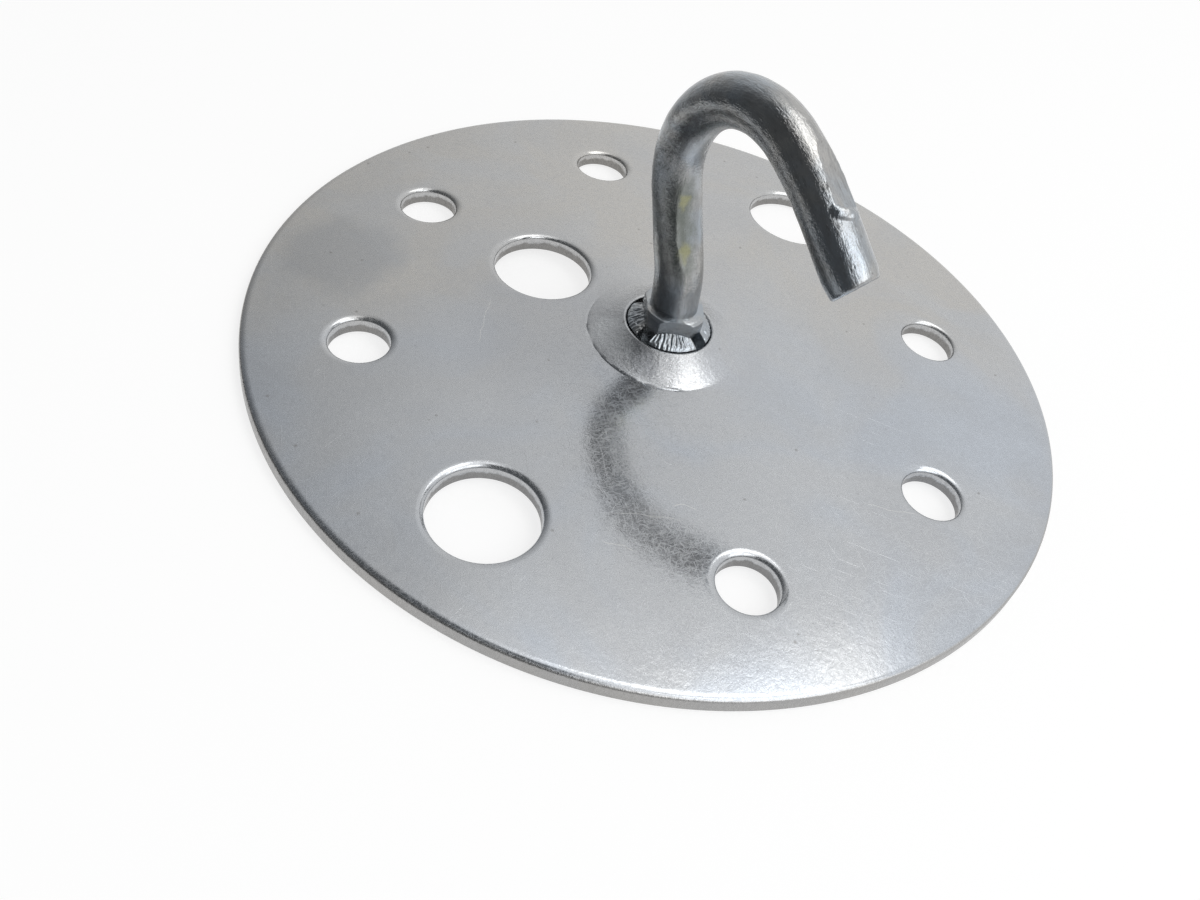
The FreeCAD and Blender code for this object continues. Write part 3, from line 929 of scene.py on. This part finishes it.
def hook_material(name, marked):
    """Zinc of the hook; the marked one has the rod's drawn streaks, the wear of its stem and painted dark
    reflections on its flat.
    """
    material, n = new_material(name)
    mm = object_mm(n)
    cloud = n.noise(mm, 0.22, 4.0, 0.6, 0.5)
    mottle = n.noise(mm, 1.1, 4.0, 0.6)
    grain = n.noise(mm, 5.0, 3.0, 0.7)
    tint = n.noise(n.moved(mm, shift=(9, 3, 21)), 0.16, 3.0, 0.5, 0.8)
    dirt = specks(n, mm, 0.9, 0.12, 0.2)
    cool, warm = (0.362, 0.395, 0.428, 1), (0.41, 0.405, 0.392, 1)
    colour = n.mix(n.ramp(tint, 0.35, 0.65), cool, warm)
    colour = n.mix(n.ramp(cloud, 0.62, 0.36, 0.0, 0.18), colour, (0.29, 0.30, 0.31, 1))
    colour = n.tinted(colour, dirt, 0.5, (0.17, 0.16, 0.15))
    rough = n.ramp(cloud, 0.3, 0.7, 0.06, 0.11)
    relief = mottle
    share = n.plus(n.ramp(cloud, 0.35, 0.65, 0.02, 0.05), n.ramp(grain, 0.52, 0.68, 0.0, 0.1))
    if marked:
        # streaks along the rod
        place = n.split(n.add("ShaderNodeTexCoord").outputs["UV"])
        turn = n.times(place[0], 2 * math.pi)
        ways = {0: n.math("COSINE", turn), 1: n.math("SINE", turn), 2: n.times(place[1], 12.0)}
        round_rod = n.add("ShaderNodeCombineXYZ", ways).outputs[0]
        streak = n.noise(round_rod, 3.2, 4.0, 0.65, 0.3)
        fine_streak = n.noise(n.moved(round_rod, shift=(4, 2, 1)), 11.0, 3.0, 0.6, 0.2)
        colour = n.mix(n.ramp(streak, 0.58, 0.38, 0.0, 0.42), colour, (0.25, 0.255, 0.26, 1))
        rough = n.plus(rough, n.ramp(streak, 0.35, 0.68, 0.0, 0.05))
        relief = n.plus(relief, n.times(n.plus(streak, fine_streak), 0.9))
        colour = n.mix(n.ramp(fine_streak, 0.55, 0.68, 0.0, 0.42), colour, (0.2, 0.2, 0.195, 1))

        # frosted stem, with painted dark reflections on its flat and yellowish spots
        wobble = n.wobble(mm, 0.8, 1.8)
        frost = n.blob(mm, (-2.2, -2.2, 16.6), (2.6, 2.4, 5.2), wobble, 0.3)
        frost = n.times(frost, n.ramp(mottle, 0.3, 0.6, 0.45, 1.0))
        colour = n.tinted(colour, frost, 0.6, (0.37, 0.385, 0.375))
        colour = n.tinted(colour, frost, n.ramp(grain, 0.5, 0.66, 0.0, 0.45), (0.17, 0.175, 0.17))
        rough = n.plus(rough, n.times(frost, 0.07))
        share = n.plus(share, n.times(frost, 0.14))
        # painted dark reflections on the stem's flat
        for middle in ((-1.9, -1.1, 19.0), (-0.7, -1.1, 16.4), (0.4, -1.1, 13.6)):
            stem_dark_reflection = n.blob(mm, middle, (1.3, 1.3, 2.3), wobble, 0.5)
            colour = n.tinted(colour, stem_dark_reflection, n.ramp(streak, 0.34, 0.6, 0.85, 0.6), (0.165, 0.18, 0.165))
        for middle, size in (((-1.9, -1.1, 19.0), (0.5, 0.7, 0.7)), ((0.1, -1.1, 14.7), (0.6, 0.7, 1.3))):
            spot = n.blob(mm, middle, size, wobble, 0.5)
            colour = n.tinted(colour, spot, 0.55, (0.36, 0.35, 0.17))
    normal = n.bump(grain, 0.028 * MM, n.bump(relief, 0.04 * MM))
    finish_metal(n, colour, rough, normal, 0.5, share)
    return material


def floor_material():
    """A pale floor that looks white, but lights the piece as grey."""
    material, n = new_material("pale_floor")
    matt = n.add("ShaderNodeBsdfDiffuse", {"Color": (0.36, 0.36, 0.36, 1)})
    glow = n.add("ShaderNodeEmission", {"Color": (1, 1, 1, 1), "Strength": n.times(n.seen(), 0.72)})
    both = n.add("ShaderNodeAddShader", {0: matt.outputs[0], 1: glow.outputs[0]})
    n.add("ShaderNodeOutputMaterial", {"Surface": both.outputs[0]})
    return material


def card_material():
    """A dark card with soft edges, which reaches further to the right near the floor."""
    material, n = new_material("dark_card")
    place = n.split(n.add("ShaderNodeTexCoord").outputs["UV"])
    across, up = place[0], place[1]
    low = n.times(n.ramp(across, 0.99, 0.773), n.ramp(up, 0.35, 0.1))
    right = n.math("MAXIMUM", n.ramp(across, 0.843, 0.783), low)
    sides = n.times(n.ramp(across, 0.0, 0.41), right)
    mask = n.times(sides, n.times(n.ramp(up, 0.97, 0.80), n.ramp(up, -0.4, -0.28)))
    clear = n.add("ShaderNodeBsdfTransparent")
    dark = n.add("ShaderNodeEmission", {"Color": (0.9, 0.95, 1.0, 1), "Strength": 0.11})
    both = n.add("ShaderNodeMixShader", {0: mask, 1: clear.outputs[0], 2: dark.outputs[0]})
    n.add("ShaderNodeOutputMaterial", {"Surface": both.outputs[0]})
    return material


# stage, in metres and degrees
FLOOR_HALF = 1.6
FLOOR_Z = -0.00002
CARD_FAR = 0.42
CARD_START_DEG, CARD_SPAN_DEG, CARD_COLUMNS = -232, 242, 60
CARD_LOW_DEG, CARD_STEP_DEG, CARD_ROWS = 0.1, 4.94, 18
CARD_OVER_FLOOR_Z = 0.0003
CARD_OVER_FLOOR = ((0.055, -0.4), (0.07, -0.3), (0.1, -0.2), (0.2, -0.1))
LAMP_FAR = 0.6


def area_lamp(name, az_deg, el_deg, size, radiance, colour):
    """A softbox that faces the piece from a direction."""
    lamp = bpy.data.lights.new(name, "AREA")
    lamp.shape = "RECTANGLE"
    lamp.size, lamp.size_y = size
    lamp.energy = radiance * math.pi * size[0] * size[1]
    lamp.color = colour
    a, e = math.radians(az_deg), math.radians(el_deg)
    way = Vector((math.cos(a) * math.cos(e), math.sin(a) * math.cos(e), math.sin(e)))
    obj = link(bpy.data.objects.new(name, lamp))
    obj.location = way * LAMP_FAR
    obj.rotation_euler = way.to_track_quat("Z", "Y").to_euler()


def make_floor():
    s = FLOOR_HALF
    mesh = bpy.data.meshes.new("floor")
    mesh.from_pydata([(-s, -s, 0), (s, -s, 0), (s, s, 0), (-s, s, 0)], [], [(0, 1, 2, 3)])
    mesh.materials.append(floor_material())
    floor = link(bpy.data.objects.new("floor", mesh))
    floor.location.z = FLOOR_Z


def make_card():
    """A dark card round the front left and over the floor there, which only reflections see."""
    profile = [(r, CARD_OVER_FLOOR_Z, v) for r, v in CARD_OVER_FLOOR]
    for j in range(CARD_ROWS + 1):
        el = math.radians(CARD_LOW_DEG + CARD_STEP_DEG * j)
        profile.append((CARD_FAR * math.cos(el), CARD_FAR * math.sin(el), j / CARD_ROWS))
    rows = len(profile)
    verts, faces, uvs = [], [], []
    for i in range(CARD_COLUMNS + 1):
        az = math.radians(CARD_START_DEG + CARD_SPAN_DEG * i / CARD_COLUMNS)
        for r, z, v in profile:
            verts.append((r * math.cos(az), r * math.sin(az), z))
            uvs.append((i / CARD_COLUMNS, v))
    for i in range(CARD_COLUMNS):
        for j in range(rows - 1):
            a = i * rows + j
            faces.append((a, a + rows, a + rows + 1, a + 1))
    mesh = bpy.data.meshes.new("dark_card")
    mesh.from_pydata(verts, [], faces)
    layer = mesh.uv_layers.new(name="UVMap")
    for loop in mesh.loops:
        layer.data[loop.index].uv = uvs[loop.vertex_index]
    mesh.materials.append(card_material())
    card = link(bpy.data.objects.new("dark_card", mesh))
    card.visible_camera = False
    card.visible_diffuse = False
    card.visible_shadow = False
    card.visible_transmission = False


def make_world():
    """A white sky, brighter overhead in reflections, and dimmer as a light."""
    world = bpy.data.worlds.new("studio")
    bpy.context.scene.world = world
    world.use_nodes = True
    n = Nodes(world.node_tree)
    seen = n.seen()
    up = n.split(n.add("ShaderNodeTexCoord").outputs["Generated"])[2]
    overhead = n.times(n.ramp(up, 0.84, 1.0, 0.0, 0.8), seen)
    strength = n.plus(n.ramp(seen, 0.0, 1.0, 0.45, 1.0), overhead)
    sky = n.add("ShaderNodeBackground", {"Color": (1, 1, 1, 1), "Strength": strength})
    n.add("ShaderNodeOutputWorld", {"Surface": sky.outputs[0]})


def make_camera():
    """The camera that was solved from the plate's outline and its holes."""
    camera = bpy.data.cameras.new("camera")
    camera.sensor_fit = "HORIZONTAL"
    camera.sensor_width = 36.0
    camera.lens = 34.908
    camera.clip_start = 0.005
    camera.clip_end = 10.0
    right = (0.55556, 0.80987, 0.18829)
    up = (-0.67365, 0.30568, 0.67287)
    back = (0.48739, -0.50067, 0.71539)
    spot = (0.064734, -0.071404, 0.082003)
    obj = link(bpy.data.objects.new("camera", camera))
    obj.matrix_world = Matrix([*zip(right, up, back, spot), (0, 0, 0, 1)])
    bpy.context.scene.camera = obj


plate = build_plate()
rod = build_rod()
foot = build_foot()
plate.data.materials.append(plate_material())
rod.data.materials.append(hook_material("hook_zinc", True))
foot.data.materials.append(hook_material("foot_zinc", False))
for piece, node, slot_name in (
    (plate, "mounting_plate", "plate_steel"), (rod, "hook", "hook_steel"), (foot, "hook", "hook_steel"),
):
    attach(piece, "root")
    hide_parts(node)
make_floor()
make_card()
area_lamp("softbox_top", 76, 69, (0.29, 0.29), 1.85, (1.0, 0.99, 0.97))
area_lamp("softbox_right", 8, 46, (0.46, 0.42), 1.75, (0.97, 0.985, 1.0))
make_world()
make_camera()
bpy.context.scene.view_settings.view_transform = "Standard"
